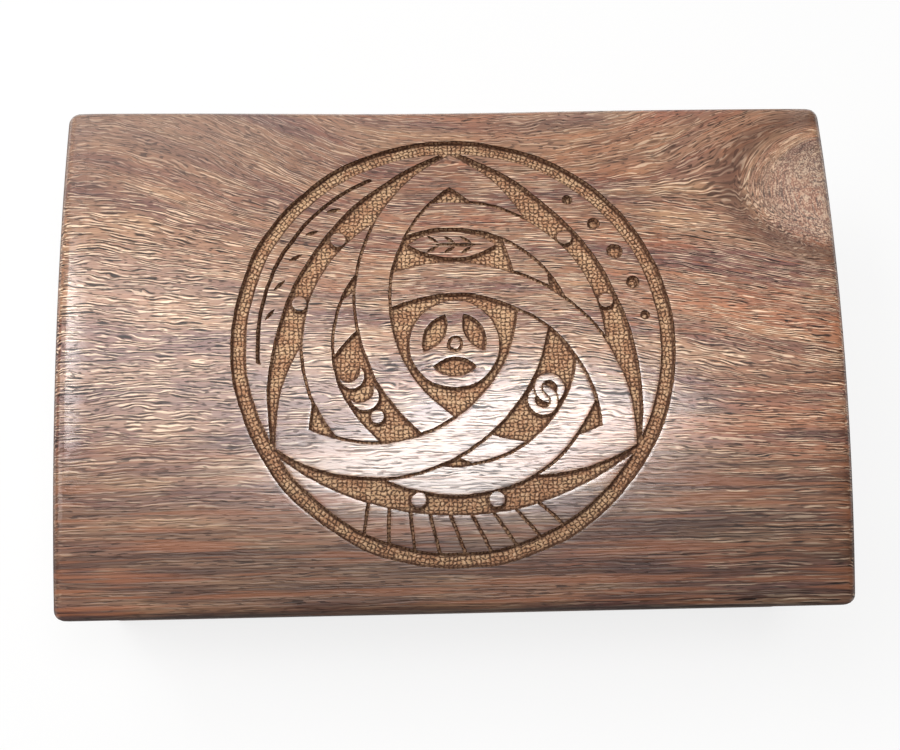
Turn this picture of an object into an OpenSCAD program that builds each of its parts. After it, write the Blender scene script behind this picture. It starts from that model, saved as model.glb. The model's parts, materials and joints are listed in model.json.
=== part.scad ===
// Small keepsake box of carved rosewood, with a crowned lid on two brass butt hinges.
// The lid stands closed at rest. The front faces -Y and the hinges are at the back.

/* [Lid] */
// Width of the lid board, left to right
lid_w = 154; // [140:1:180]
// Depth of the lid board, front to back
lid_d = 102; // [98:1:130]
// Height of the lid board at its front and back edges
lid_edge_h = 4.5; // [4.2:0.1:8]
// Rise of the crown above those edges
crown_rise = 6; // [3.5:0.1:6.5]
// Radius worn on the top edges
lid_round = 2.4; // [1.6:0.1:3.6]
// Radius of the back corners, seen from above
lid_back_corner = 2.4; // [1:0.1:5]
// Radius of the front corners, seen from above
lid_front_corner = 2; // [1:0.1:5]
// Height of the rails under the lid board
rail_h = 10; // [8:0.5:16]

/* [Box] */
// Height of the walls
wall_h = 32; // [24:1:60]
// Thickness of the walls and rails
wall_t = 8; // [7.5:0.5:10]
// Overhang of the lid board past the walls
overhang = 2.5; // [1.5:0.5:3]
// Depth that the side walls let into the front and back walls
rabbet = 5; // [3:0.5:5]
// Thickness of the base board
base_t = 6; // [4:0.5:10]
// Overhang of the base board past the walls
base_overhang = 0; // [0:0.5:2.5]
// Radius worn on the lower edges of the base board
base_round = 1.5; // [0.8:0.1:1.9]
// Radius eased on its upper edges, along the joint with the walls
base_ease = 0.4; // [0.2:0.1:1]
// Radius of the outer corners of the walls
wall_corner = 1.6; // [1:0.1:2.4]
// Gap between the walls and the closed lid
parting = 0.3; // [0.2:0.05:0.5]

/* [Lining] */
// Thickness of the velvet lining
lining_t = 1; // [0.6:0.1:1.5]
// Height of bare wood above the wall lining
bare_rim = 2; // [1.5:0.5:4]

/* [Hinges] */
// Distance of each hinge's middle from the middle of the box
hinge_x = 45; // [30:1:52]
// Length of each hinge
hinge_l = 20; // [16:1:26]
// Width of a leaf, from the pin's axis to its front edge
leaf_w = 5.7; // [5.2:0.1:5.8]
// Thickness of a leaf
leaf_t = 0.9; // [0.8:0.05:1]
// Outer radius of the knuckles
knuckle_r = 1.6; // [1.4:0.05:1.7]
// Radius of the pin
pin_r = 0.8; // [0.7:0.05:0.9]
// Distance of the pin's axis inside the back faces of the walls
pin_inset = 1.4; // [1.2:0.1:1.5]
// Angle at which the bevelled back edges stop the lid
lid_stop = 100; // [92:1:110]
// Distance of the screws from each hinge's middle
screw_x = 5.5; // [4:0.5:7]
// Radius of a screw's shank
screw_r = 0.9; // [0.7:0.1:1]
// Length of a screw
screw_l = 6; // [5:0.5:7]

/* [Roundel] */
// Radius of the carved roundel
roundel_r = 43.2; // [38:0.1:44]
// Distance of its centre behind the middle of the lid
roundel_y = 0.1; // [0:0.1:1]
// Depth of the carved ground below the face of the lid
carving_depth = 1.2; // [0.8:0.1:1.8]
// Width of the plain moat inside the outline
moat_w = 3; // [2:0.1:4]
// Width of the three interlaced loops
loop_w = 6.2; // [5.4:0.1:6.6]
// Radius of the interlaced ring
ring_r = 26.6; // [26:0.1:27]
// Width of the interlaced ring
ring_w = 5.4; // [4.6:0.1:5.8]
// Width of the cuts that part crossing straps
vee_w = 0.65; // [0.5:0.05:0.9]
// Greatest width of the long leaves along the moat
rim_leaf_w = 7; // [6:0.1:7.6]

/* [Hidden] */
$fn = 96;

// Colours of the wood, the velvet and the metal
rosewood = [0.55, 0.40, 0.32];
side_wood = [0.48, 0.34, 0.27];
velvet = [0.36, 0.05, 0.09];
brass = [0.80, 0.62, 0.30];

// Heights of the main planes
wall_top = base_t + wall_h;
rail_bottom = wall_top + parting;
board_bottom = rail_bottom + rail_h;
edge_top = board_bottom + lid_edge_h;
crown_top = edge_top + crown_rise;

// The crown is an arc through both top edges and the middle of the lid
crown_r = (pow(lid_d / 2, 2) + pow(crown_rise, 2)) / (2 * crown_rise);
crown_z = crown_top - crown_r;
barrel_wall = 30;
meet_slack = 9;

// Outer and inner faces of the walls, and the length of the side walls
outer_w = lid_w - 2 * overhang;
outer_d = lid_d - 2 * overhang;
inner_w = outer_w - 2 * wall_t;
inner_d = outer_d - 2 * wall_t;
side_d = outer_d - 2 * (wall_t - rabbet);

// Hinge axis, on the middle plane of the parting gap
pin_y = outer_d / 2 - pin_inset;
pin_z = wall_top + parting / 2;
knuckle_count = 5;
swing_gap = 0.3;
knuckle_pitch = (hinge_l + swing_gap) / knuckle_count;
knuckle_l = knuckle_pitch - swing_gap;
bore_r = pin_r + 0.05;
pin_head_r = 1.25;
pin_head_l = 0.5;

// Countersunk wood screws
screw_y = pin_y - leaf_w + 2.1;
screw_head_r = 1.65;
screw_head_h = 0.7;
screw_tip_l = 1.5;
slot_w = 0.4;
slot_depth = 0.35;
sink_gap = 0.05;

// Carved figure
figure_r = roundel_r - moat_w;
loop_r = 0.786 * figure_r;
loop_off = loop_r / sqrt(3);
ring_turn = acos((pow(ring_r, 2) + pow(loop_off, 2) - pow(loop_r, 2)) / (2 * ring_r * loop_off));
weave_reach = 20;
rim_leaf_half = 57;
rim_leaf_off = (2 * rim_leaf_w * figure_r - pow(rim_leaf_w, 2))
  / (2 * figure_r * (1 - cos(rim_leaf_half)) - 2 * rim_leaf_w);
motif_r = 20.2;
rosette_r = 8.6;
leaf_size = [17, 5.4];
link_r = 2.2;
link_w = 1.3;
link_off = 1.4;
big_moon_r = 2.7;
small_moon_r = 2.3;
moon_gap = 4.7;
cut_w = 0.7;
rib_w = 0.8;
rib_off = 2.2;
rib_half_l = 22;
berry_r = 1.4;
berry_off = 31.1;

// Points of a round stretch about x, y, from angle a to angle b
function arc(x, y, r, a, b, steps = 6) =
  [for (i = [0:steps]) let (t = a + (b - a) * i / steps) [x + r * cos(t), y + r * sin(t)]];

// A rectangle with its own corner radius at the back and at the front
module rounded_2d(w, d, back, front) {
  polygon(concat(
    arc(w / 2 - back, d / 2 - back, back, 0, 90),
    arc(back - w / 2, d / 2 - back, back, 90, 180),
    arc(front - w / 2, front - d / 2, front, 180, 270),
    arc(w / 2 - front, front - d / 2, front, 270, 360)
  ));
}

module along_x(l) {
  translate([-l / 2, 0, 0])
    rotate([90, 0, 90])
      linear_extrude(l)
        children();
}

module along_y(l) {
  translate([0, l / 2, 0])
    rotate([90, 0, 0])
      linear_extrude(l)
        children();
}

// Both like pieces, left and right
module pair(x) {
  for (side = [-1, 1])
    translate([side * x, 0, 0])
      children();
}

// Lid board

// A barrel about a lengthways axis, with its two ends worn round
module crown_barrel() {
  end_x = lid_w / 2;
  translate([0, 0, crown_z])
    rotate([0, 90, 0])
      rotate_extrude($fn = 360)
        polygon(concat(
          [[crown_r - barrel_wall, -end_x]],
          arc(crown_r - lid_round, lid_round - end_x, lid_round, -90, 0),
          arc(crown_r - lid_round, end_x - lid_round, lid_round, 0, 90),
          [[crown_r - barrel_wall, end_x]]
        ));
}

// Cross-section that rounds the front and back edges into the crown
module long_edges_2d() {
  edge_y = lid_d / 2 - lid_round;
  edge_z = crown_z + sqrt(pow(crown_r - lid_round, 2) - pow(edge_y, 2));
  meet = 90 - asin(edge_y / (crown_r - lid_round)) - meet_slack;
  rise = crown_top + 1 - edge_z - lid_round * sin(meet);
  half = concat(
    [[lid_d / 2, board_bottom]],
    arc(edge_y, edge_z, lid_round, 0, meet),
    [[edge_y + lid_round * cos(meet) - rise * tan(meet), crown_top + 1]]
  );
  last = len(half) - 1;
  polygon(concat(half, [for (i = [0:last]) [-half[last - i][0], half[last - i][1]]]));
}

module lid_blank() {
  intersection() {
    crown_barrel();
    along_x(lid_w + 2) long_edges_2d();
    translate([0, 0, board_bottom])
      linear_extrude(crown_top)
        rounded_2d(lid_w, lid_d, lid_back_corner, lid_front_corner);
  }
}

// Carved roundel

module annulus(r, w) {
  difference() {
    circle(r + w / 2);
    circle(r - w / 2);
  }
}

// A pointed oval of length l and width w along X
module pointed_oval(l, w) {
  r = (l * l + w * w) / (4 * w);
  intersection() {
    translate([0, r - w / 2]) circle(r);
    translate([0, w / 2 - r]) circle(r);
  }
}

module crescent(r, shift) {
  difference() {
    circle(r);
    translate([shift, 0]) circle(r);
  }
}

// Carries a motif out to radius r in direction a
module at(r, a) {
  rotate(a)
    translate([r, 0])
      children();
}

// One of three circles whose arcs interlace, and the disc that it bounds
module loop_circle(k, w) {
  at(loop_off, 120 * k - 90) annulus(loop_r, w);
}

module loop_disc(k) {
  at(loop_off, 120 * k - 90) circle(loop_r + loop_w / 2);
}

// A loop passes under the next loop and under the ring, once each
module loop(k) {
  difference() {
    intersection() {
      loop_circle(k, loop_w);
      union() {
        loop_disc(k + 1);
        loop_disc(k + 2);
      }
    }
    intersection() {
      loop_circle(k + 1, loop_w + 2 * vee_w);
      at(loop_off, 120 * k + 150) circle(weave_reach);
    }
    intersection() {
      annulus(ring_r, ring_w + 2 * vee_w);
      at(ring_r, 120 * k - 90 - ring_turn) circle(weave_reach);
    }
  }
}

// The ring passes under each loop once
module ring() {
  difference() {
    annulus(ring_r, ring_w);
    for (k = [0:2])
      intersection() {
        loop_circle(k, loop_w + 2 * vee_w);
        at(ring_r, 120 * k - 90 + ring_turn) circle(weave_reach);
      }
  }
}

// A round flower with three petals cut into it and an eye
module rosette(r) {
  difference() {
    circle(r);
    for (k = [0:2])
      at(0.52 * r, 120 * k + 30) rotate(90) pointed_oval(0.98 * r, 0.46 * r);
    annulus(0.15 * r, 0.08 * r);
  }
}

// A leaf with a midrib and three pairs of veins cut into it
module veined_leaf(l, w) {
  difference() {
    pointed_oval(l, w);
    translate([-0.04 * l, 0]) pointed_oval(0.66 * l, cut_w);
    for (side = [-1, 1], i = [-1:1])
      translate([(0.19 * i + 0.03) * l, 0.2 * side * w])
        rotate(32 * side)
          pointed_oval(0.5 * w, cut_w);
  }
}

// Two linked rings, each over the other once
module linked_rings(r, w, off) {
  for (side = [-1, 1])
    rotate(90 - 90 * side)
      difference() {
        translate([-off, 0]) annulus(r, w);
        intersection() {
          translate([off, 0]) annulus(r, w + vee_w);
          translate([-r, 0]) square(2 * r);
        }
      }
}

// Two crescents and a berry in a row
module moons() {
  rotate(180) crescent(big_moon_r, 0.6 * big_moon_r);
  translate([moon_gap, 0]) circle(0.45 * big_moon_r);
  translate([-moon_gap, 0]) rotate(180) crescent(small_moon_r, 0.6 * small_moon_r);
}

// A long leaf that lies against the moat, pointed at both ends
module rim_leaf() {
  difference() {
    circle(figure_r);
    translate([-rim_leaf_off, 0]) circle(figure_r + rim_leaf_off - rim_leaf_w);
  }
}

module hatched_leaf() {
  difference() {
    rim_leaf();
    for (i = [-4:4])
      at(figure_r - rim_leaf_w / 2, 7 * i) rotate(20) square([3 * rim_leaf_w, cut_w], center = true);
  }
}

module beaded_leaf() {
  difference() {
    rim_leaf();
    for (i = [-2:2])
      at(figure_r - 3.1 + 0.35 * abs(i), 11 * i) circle(1.6 - 0.3 * abs(i));
  }
}

module ribbed_leaf() {
  difference() {
    rim_leaf();
    intersection() {
      annulus(figure_r - rib_off, rib_w);
      translate([0, -rib_half_l]) square([figure_r, 2 * rib_half_l]);
    }
    for (i = [-2:2])
      at(figure_r - 4.7 + 0.35 * abs(i), 10 * i) rotate(60) pointed_oval(3, rib_w);
  }
}

module figure_2d() {
  ring();
  for (k = [0:2])
    loop(k);
  rosette(rosette_r);
  at(motif_r, 90) rotate(90) veined_leaf(leaf_size[0], leaf_size[1]);
  at(motif_r, -30) rotate(90) linked_rings(link_r, link_w, link_off);
  at(motif_r, 210) rotate(90) moons();
  rotate(-90) hatched_leaf();
  rotate(30) beaded_leaf();
  rotate(150) ribbed_leaf();
  for (k = [0:2], side = [-1, 1])
    at(berry_off, 120 * k - 90 + 14 * side) circle(berry_r);
}

// The sunk ground of the roundel, whose floor follows the crown
module roundel_ground() {
  difference() {
    translate([0, roundel_y, edge_top - carving_depth - 1])
      linear_extrude(crown_rise + carving_depth + 2)
        difference() {
          circle(roundel_r);
          figure_2d();
        }
    translate([0, 0, crown_z])
      rotate([0, 90, 0])
        cylinder(h = 2 * roundel_r + 2, r = crown_r - carving_depth, center = true, $fn = 360);
  }
}

module lid_board() {
  color(rosewood)
    difference() {
      lid_blank();
      roundel_ground();
    }
}

// Walls and rails

// Outline that the walls and the rails share, with rounded corners
module outer_2d() {
  rounded_2d(outer_w, outer_d, wall_corner, wall_corner);
}

// A front or back piece, rabbeted at both ends for the side pieces
module lapped_2d(side) {
  intersection() {
    outer_2d();
    difference() {
      translate([0, side * (outer_d - wall_t) / 2])
        square([outer_w + 1, wall_t], center = true);
      pair(outer_w / 2)
        translate([0, side * (side_d / 2 - rabbet)])
          square([2 * wall_t, 2 * rabbet], center = true);
    }
  }
}

module side_2d(side) {
  intersection() {
    outer_2d();
    translate([side * (outer_w - wall_t) / 2, 0])
      square([wall_t, side_d], center = true);
  }
}

module wall(z, h) {
  translate([0, 0, z])
    linear_extrude(h)
      children();
}

// Bevel of a back edge, below the hinge axis or, with up set, above it
module back_bevel(up = 0) {
  translate([0, pin_y, pin_z])
    mirror([0, 0, up])
      rotate([-lid_stop / 2, 0, 0])
        translate([-outer_w / 2 - 1, -6, -parting / 2])
          cube([outer_w + 2, 12, 6]);
}

// Room for one pair of hinges: the knuckles, the leaves below or above, and their screws
module hinge_seats(up = 0) {
  pair(hinge_x)
    translate([0, pin_y, pin_z]) {
      rotate([0, 90, 0])
        cylinder(h = hinge_l + 2 * (pin_head_l + swing_gap), r = knuckle_r + swing_gap, center = true);
      mirror([0, 0, up]) {
        translate([-hinge_l / 2, -leaf_w, -parting / 2 - leaf_t])
          cube([hinge_l, leaf_w, leaf_t + 1]);
        pair(screw_x)
          translate([0, screw_y - pin_y, -parting / 2])
            screw_body();
      }
    }
}

module lid_front_rail() {
  color(side_wood)
    wall(rail_bottom, rail_h) lapped_2d(-1);
}

module lid_back_rail() {
  color(side_wood)
    difference() {
      wall(rail_bottom, rail_h) lapped_2d(1);
      back_bevel(1);
      hinge_seats(1);
    }
}

module lid_left_rail() {
  color(side_wood)
    wall(rail_bottom, rail_h) side_2d(-1);
}

module lid_right_rail() {
  color(side_wood)
    wall(rail_bottom, rail_h) side_2d(1);
}

module front_wall() {
  color(side_wood)
    wall(base_t, wall_h) lapped_2d(-1);
}

module back_wall() {
  color(side_wood)
    difference() {
      wall(base_t, wall_h) lapped_2d(1);
      back_bevel();
      hinge_seats();
    }
}

module left_wall() {
  color(side_wood)
    wall(base_t, wall_h) side_2d(-1);
}

module right_wall() {
  color(side_wood)
    wall(base_t, wall_h) side_2d(1);
}

// A flat board with worn edges
module base_board() {
  w = outer_w + 2 * base_overhang;
  d = outer_d + 2 * base_overhang;
  corner = wall_corner + base_overhang;
  color(side_wood)
    intersection() {
      linear_extrude(base_t) rounded_2d(w, d, corner, corner);
      translate([0, 0, base_t / 2]) along_x(w + 2) rounded_2d(d, base_t, base_ease, base_round);
      translate([0, 0, base_t / 2]) along_y(d + 2) rounded_2d(w, base_t, base_ease, base_round);
    }
}

// Linings

module panel(w, d, h, x, y, z) {
  color(velvet)
    translate([x - w / 2, y - d / 2, z])
      cube([w, d, h]);
}

lining_z = base_t + lining_t;
lining_h = wall_h - lining_t - bare_rim;
side_lining_d = inner_d - 2 * lining_t;

module lid_lining() {
  panel(inner_w, inner_d, lining_t, 0, 0, board_bottom - lining_t);
}

module floor_lining() {
  panel(inner_w, inner_d, lining_t, 0, 0, base_t);
}

module front_lining() {
  panel(inner_w, lining_t, lining_h, 0, (lining_t - inner_d) / 2, lining_z);
}

module back_lining() {
  panel(inner_w, lining_t, lining_h, 0, (inner_d - lining_t) / 2, lining_z);
}

module left_lining() {
  panel(lining_t, side_lining_d, lining_h, (lining_t - inner_w) / 2, 0, lining_z);
}

module right_lining() {
  panel(lining_t, side_lining_d, lining_h, (inner_w - lining_t) / 2, 0, lining_z);
}

// Hinges

// A countersunk screw whose head's face is at the origin, pointing down
module screw_body() {
  rotate([180, 0, 0]) {
    cylinder(h = screw_head_h, r1 = screw_head_r, r2 = screw_r);
    cylinder(h = screw_l - screw_tip_l, r = screw_r);
    translate([0, 0, screw_l - screw_tip_l])
      cylinder(h = screw_tip_l, r1 = screw_r, r2 = 0.1);
  }
}

module screw() {
  difference() {
    screw_body();
    cube([2 * screw_head_r + 1, slot_w, 2 * slot_depth], center = true);
  }
}

// A countersunk hole that clears a screw through a leaf
module screw_hole() {
  translate([0, 0, -leaf_t - 1])
    cylinder(h = leaf_t + 2, r = screw_r + sink_gap);
  rotate([180, 0, 0])
    cylinder(h = screw_head_h, r1 = screw_head_r + sink_gap, r2 = screw_r + sink_gap);
}

// Cross-section of a leaf rolled round the pin, with the axis at the origin and the leaf below it
module leaf_2d() {
  difference() {
    union() {
      translate([-leaf_w, -parting / 2 - leaf_t])
        square([leaf_w, leaf_t]);
      circle(knuckle_r);
    }
    circle(bore_r);
  }
}

// Slots for the other leaf's knuckles: two for the box's leaf, three for the lid's
module knuckle_slots(first) {
  reach = knuckle_r + swing_gap;
  for (i = [first:2:knuckle_count - 1]) {
    low = i == 0 ? -1 : -swing_gap;
    high = i == knuckle_count - 1 ? knuckle_l + 1 : knuckle_l + swing_gap;
    translate([-hinge_l / 2 + i * knuckle_pitch + low, -reach, -reach])
      cube([high - low, 2 * reach, 2 * reach]);
  }
}

// A leaf about the hinge axis, lying below it
module leaf(first_slot) {
  difference() {
    along_x(hinge_l) leaf_2d();
    knuckle_slots(first_slot);
    pair(screw_x)
      translate([0, screw_y - pin_y, -parting / 2])
        screw_hole();
  }
}

module at_hinge(side) {
  translate([side * hinge_x, pin_y, pin_z])
    children();
}

module box_leaf(side) {
  color(brass)
    at_hinge(side) leaf(1);
}

module lid_leaf(side) {
  color(brass)
    at_hinge(side) mirror([0, 0, 1]) leaf(0);
}

// A pin with a low round head at each end
module hinge_pin(side) {
  color(brass)
    at_hinge(side)
      rotate([0, 90, 0]) {
        cylinder(h = hinge_l, r = pin_r, center = true);
        for (end = [0, 1])
          mirror([0, 0, end])
            translate([0, 0, hinge_l / 2])
              cylinder(h = pin_head_l, r = pin_head_r);
      }
}

module hinge_screws(up = 0) {
  color(brass)
    for (side = [-1, 1])
      translate([side * hinge_x, screw_y, pin_z])
        mirror([0, 0, up])
          pair(screw_x)
            translate([0, 0, -parting / 2])
              screw();
}

module left_hinge_lid_leaf() {
  lid_leaf(-1);
}

module right_hinge_lid_leaf() {
  lid_leaf(1);
}

module lid_hinge_screws() {
  hinge_screws(1);
}

module left_hinge_box_leaf() {
  box_leaf(-1);
}

module right_hinge_box_leaf() {
  box_leaf(1);
}

module left_hinge_pin() {
  hinge_pin(-1);
}

module right_hinge_pin() {
  hinge_pin(1);
}

module box_hinge_screws() {
  hinge_screws();
}

lid_board();
lid_front_rail();
lid_back_rail();
lid_left_rail();
lid_right_rail();
lid_lining();
left_hinge_lid_leaf();
right_hinge_lid_leaf();
lid_hinge_screws();
base_board();
front_wall();
back_wall();
left_wall();
right_wall();
floor_lining();
front_lining();
back_lining();
left_lining();
right_lining();
left_hinge_box_leaf();
right_hinge_box_leaf();
left_hinge_pin();
right_hinge_pin();
box_hinge_screws();
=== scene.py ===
import json
import math

import bmesh
import bpy
import numpy as np
from bpy.props import FloatProperty, FloatVectorProperty, IntProperty, PointerProperty
from mathutils import Matrix, Vector, noise
from mathutils.bvhtree import BVHTree
from mathutils.geometry import delaunay_2d_cdt


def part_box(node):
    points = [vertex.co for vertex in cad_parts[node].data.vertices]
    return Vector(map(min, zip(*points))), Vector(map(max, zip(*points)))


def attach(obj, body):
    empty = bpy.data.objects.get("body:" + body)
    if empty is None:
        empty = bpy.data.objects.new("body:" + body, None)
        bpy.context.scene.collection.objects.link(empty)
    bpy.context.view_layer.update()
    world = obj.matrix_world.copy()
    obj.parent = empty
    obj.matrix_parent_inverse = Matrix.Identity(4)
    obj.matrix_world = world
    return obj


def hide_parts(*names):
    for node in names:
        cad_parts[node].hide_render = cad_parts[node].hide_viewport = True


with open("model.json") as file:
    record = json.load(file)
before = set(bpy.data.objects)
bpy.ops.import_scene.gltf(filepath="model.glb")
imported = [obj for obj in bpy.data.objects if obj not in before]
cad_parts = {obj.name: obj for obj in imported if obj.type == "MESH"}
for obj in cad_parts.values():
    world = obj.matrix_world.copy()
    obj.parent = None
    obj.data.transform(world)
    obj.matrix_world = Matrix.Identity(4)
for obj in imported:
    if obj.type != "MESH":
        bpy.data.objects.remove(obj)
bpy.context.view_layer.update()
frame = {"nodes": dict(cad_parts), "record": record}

bl_info = {
    "name": "Carved Keepsake Box",
    "version": (1, 0, 0),
    "blender": (4, 5, 0),
    "location": "3D View > Sidebar > Keepsake",
    "description": "Dresses a small hinged rosewood box with a carved lid, velvet and brass",
    "category": "Object",
}

MM = 0.001
LID_LOW, LID_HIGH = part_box("lid_board")

# Sizes and places in the materials, in millimetres.
LID_HALF_X, LID_HALF_Y = LID_HIGH.x / MM, LID_HIGH.y / MM
EYE_X, EYE_Y = 82, 31  # middle of the knot's eye in the lid
THREAD = 0.62  # from one thread of the wood to the next
MARK_LENGTH, MARK_WIDTH = 0.92, 0.78  # of a punch mark in the ground
MOAT_WIDTH = 3.7  # of the groove round the roundel

WANDER_SEED = 3  # noise_vector would otherwise take its offsets from the clock


def srgb(r, g, b):
    """A linear colour from the 0 to 255 values that a paint chart gives."""
    def linear(value):
        value /= 255
        return value / 12.92 if value <= 0.04045 else ((value + 0.055) / 1.055) ** 2.4
    return linear(r), linear(g), linear(b)


def colour(name, description, chart):
    """A colour property with its default given as chart values."""
    return FloatVectorProperty(name=name, description=description, subtype="COLOR", size=3,
                               min=0, max=1, default=srgb(*chart))


def length(name, description, default_mm):
    """A length property with its default given in millimetres."""
    return FloatProperty(name=name, description=description, subtype="DISTANCE", unit="LENGTH",
                         min=0, default=default_mm * MM)


class KEEPSAKE_PG_lid(bpy.types.PropertyGroup):
    """Sizes of the crowned lid board and of its carved roundel."""
    crown_rise: length("Crown rise", "Rise of the crown above the front and back edges", 6)
    edge_round: length("Edge round", "Radius worn on the top edges", 2.35)
    shoulder: length("Shoulder", "Height that the ends lose before the edge round", 0.4)
    shoulder_reach: length("Shoulder width", "How far in from the ends the loss begins", 7.5)
    back_corner: length("Back corner", "Radius of the back corners, seen from above", 2.4)
    front_corner: length("Front corner", "Radius of the front corners, seen from above", 2)
    under_round: length("Underside round", "Radius on the lower edges", 0.5)
    hollow: length("Hollow", "Depth of the hollow planed into the back edge", 0.55)
    hollow_left: length("Hollow offset", "Distance of the hollow left of the middle", 8)
    hollow_reach: length("Hollow reach", "Half of the hollow's length", 35)
    roundel_radius: length("Roundel radius", "Radius of the carved roundel", 43.2)
    roundel_back: length("Roundel offset", "Distance of the roundel behind the middle", 0.1)
    carving_depth: length("Carving depth", "Depth of the ground below the face", 1.2)
    wall_run: length("Wall slope", "How far the walls of the carving slope inward", 0.4)
    foot_depth: length("Foot depth", "How much deeper the ground is cut along the walls", 0.15)
    arris: length("Arris", "Width over which a carved edge is eased", 0.3)
    wear: length("Wear", "Depth worn off the carved edges", 0.016)
    dents: length("Dents", "Depth of the dents left in the ground by the gouge", 0.22)
    wander: length("Wander", "How far the hand-cut lines wander off the drawn ones", 0.3)
    mesh_step: length("Mesh step", "Distance between the points of the roundel's mesh", 0.42)
    rim_points: IntProperty(name="Rim points", description="Points round the roundel's rim",
                            min=64, default=900)


class KEEPSAKE_PG_wood(bpy.types.PropertyGroup):
    """Colours of the rosewood."""
    deep: colour("Deep", "The darkest streaks", (86, 57, 47))
    plum: colour("Plum", "The purplish streaks", (122, 84, 76))
    mid: colour("Mid", "The body of the wood", (160, 120, 96))
    tan: colour("Tan", "The palest figure", (200, 158, 120))
    amber: colour("Amber", "The orange-brown streaks", (184, 118, 84))
    # Also the colour of the painted highlights on the ridges of the ground.
    fleck: colour("Fleck", "Short pale flecks", (246, 214, 182))
    pore: colour("Pore", "Open pores", (56, 36, 29))
    # Grey of the knot's wood; at the back left it is also a painted haze of sheen.
    grey_wood_and_haze: colour("Faded", "Wood that light has turned grey", (156, 138, 132))
    ground: colour("Ground", "Punched ground of the roundel", (214, 172, 132))
    rust: colour("Rust", "Redder patches of the ground", (186, 136, 100))
    # Pit colour: painted shade in the bottoms of the punch marks.
    pit: colour("Pit", "Bottom of a punch mark", (70, 45, 32))
    # Walls of the carving and their foot: partly burnt wood, partly painted shade.
    burn_and_shade: colour("Burnt", "Walls of the carving and their foot", (88, 57, 41))


class KEEPSAKE_PG_trim(bpy.types.PropertyGroup):
    """Colours of the lining and the hinges."""
    velvet: colour("Velvet", "Pile of the lining", (104, 12, 26))
    velvet_worn: colour("Brushed velvet", "Pile that lies the other way", (140, 26, 40))
    brass: colour("Brass", "Clean brass", (214, 172, 96))
    tarnish: colour("Tarnish", "Tarnished brass", (128, 92, 48))


class Wire:
    """One output of a shader node. Sums on it add Math nodes."""

    def __init__(self, finish, socket):
        self.finish = finish
        self.socket = socket

    def maths(self, operation, *others):
        return self.finish.maths(operation, self, *others)

    def __add__(self, other):
        return self.maths("ADD", other)

    def __radd__(self, other):
        return self.maths("ADD", other)

    def __sub__(self, other):
        return self.maths("SUBTRACT", other)

    def __rsub__(self, other):
        return self.finish.maths("SUBTRACT", other, self)

    def __mul__(self, other):
        return self.maths("MULTIPLY", other)

    def __rmul__(self, other):
        return self.maths("MULTIPLY", other)

    def __truediv__(self, other):
        return self.maths("DIVIDE", other)

    def __neg__(self):
        return self.maths("MULTIPLY", -1)

    def step(self, low, high):
        """0 at low and 1 at high, with a smooth rise between them."""
        return self.finish.node(
            "ShaderNodeMapRange", {"interpolation_type": "SMOOTHSTEP"},
            {"Value": self, "From Min": low, "From Max": high})


class Finish:
    """A material and the nodes that make it."""

    def __init__(self, name):
        self.material = bpy.data.materials.new(name)
        self.material.use_nodes = True
        self.tree = self.material.node_tree
        self.tree.nodes.clear()

    def node(self, kind, settings=(), values=(), out=0):
        """Adds a node, makes its settings, fills its sockets, and gives one of its outputs."""
        node = self.tree.nodes.new(kind)
        for key, value in dict(settings).items():
            setattr(node, key, value)
        for key, value in dict(values).items():
            if isinstance(value, Wire):
                self.tree.links.new(value.socket, node.inputs[key])
            else:
                node.inputs[key].default_value = value
        return Wire(self, node.outputs[out]) if node.outputs else None

    def maths(self, operation, *values):
        return self.node("ShaderNodeMath", {"operation": operation}, enumerate(values))

    def place(self):
        """The point's own coordinates, in millimetres, as three values."""
        point = self.node("ShaderNodeTexCoord", out="Object")
        split = self.node("ShaderNodeVectorMath", {"operation": "SCALE"},
                          {"Vector": point, "Scale": 1 / MM}, out="Vector")
        return [self.node("ShaderNodeSeparateXYZ", (), {"Vector": split}, out=axis)
                for axis in "XYZ"]

    def spot(self, x, y, z):
        """Joins three values into one vector."""
        return self.node("ShaderNodeCombineXYZ", (), {"X": x, "Y": y, "Z": z})

    def noise(self, x, y, z, detail, roughness=0.5):
        """Noise between 0 and 1 at a point given as three values."""
        return self.node(
            "ShaderNodeTexNoise", {"noise_dimensions": "3D"},
            {"Vector": self.spot(x, y, z), "Scale": 1.0, "Detail": detail,
             "Roughness": roughness}, out="Fac")

    def cells(self, x, y, unevenness):
        """Distance from the edge of a cell, in a pattern of one cell to each unit square."""
        return self.node(
            "ShaderNodeTexVoronoi", {"voronoi_dimensions": "2D", "feature": "DISTANCE_TO_EDGE"},
            {"Vector": self.spot(x, y, 0), "Scale": 1.0, "Randomness": unevenness},
            out="Distance")

    def mix(self, share, first, second):
        """Blends two colours by a share from 0 to 1."""
        def rgba(value):
            return value if isinstance(value, Wire) else (*value, 1.0)
        return self.node("ShaderNodeMix", {"data_type": "RGBA"},
                         {"Factor": share, 6: rgba(first), 7: rgba(second)}, out=2)

    def shade(self, tint, amount):
        """A colour made lighter or darker by a factor."""
        return self.node("ShaderNodeVectorMath", {"operation": "SCALE"},
                         {"Vector": tint, "Scale": amount}, out="Vector")

    def mesh_value(self, name):
        """A value that the mesh holds at each point or face."""
        return self.node("ShaderNodeAttribute", {"attribute_name": name}, out="Fac")

    def bump(self, height, reach, strength):
        """A normal roughened by a height from 0 to 1 that stands for reach metres."""
        return self.node("ShaderNodeBump", (), {"Height": height, "Distance": reach,
                                                "Strength": strength})

    def surface(self, **values):
        """Ends the tree in one glossy surface. Underscores in the names stand for spaces."""
        sockets = {key.replace("_", " "): value for key, value in values.items()}
        shader = self.node("ShaderNodeBsdfPrincipled", (), sockets)
        self.node("ShaderNodeOutputMaterial", (), {"Surface": shader})
        return self.material


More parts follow.
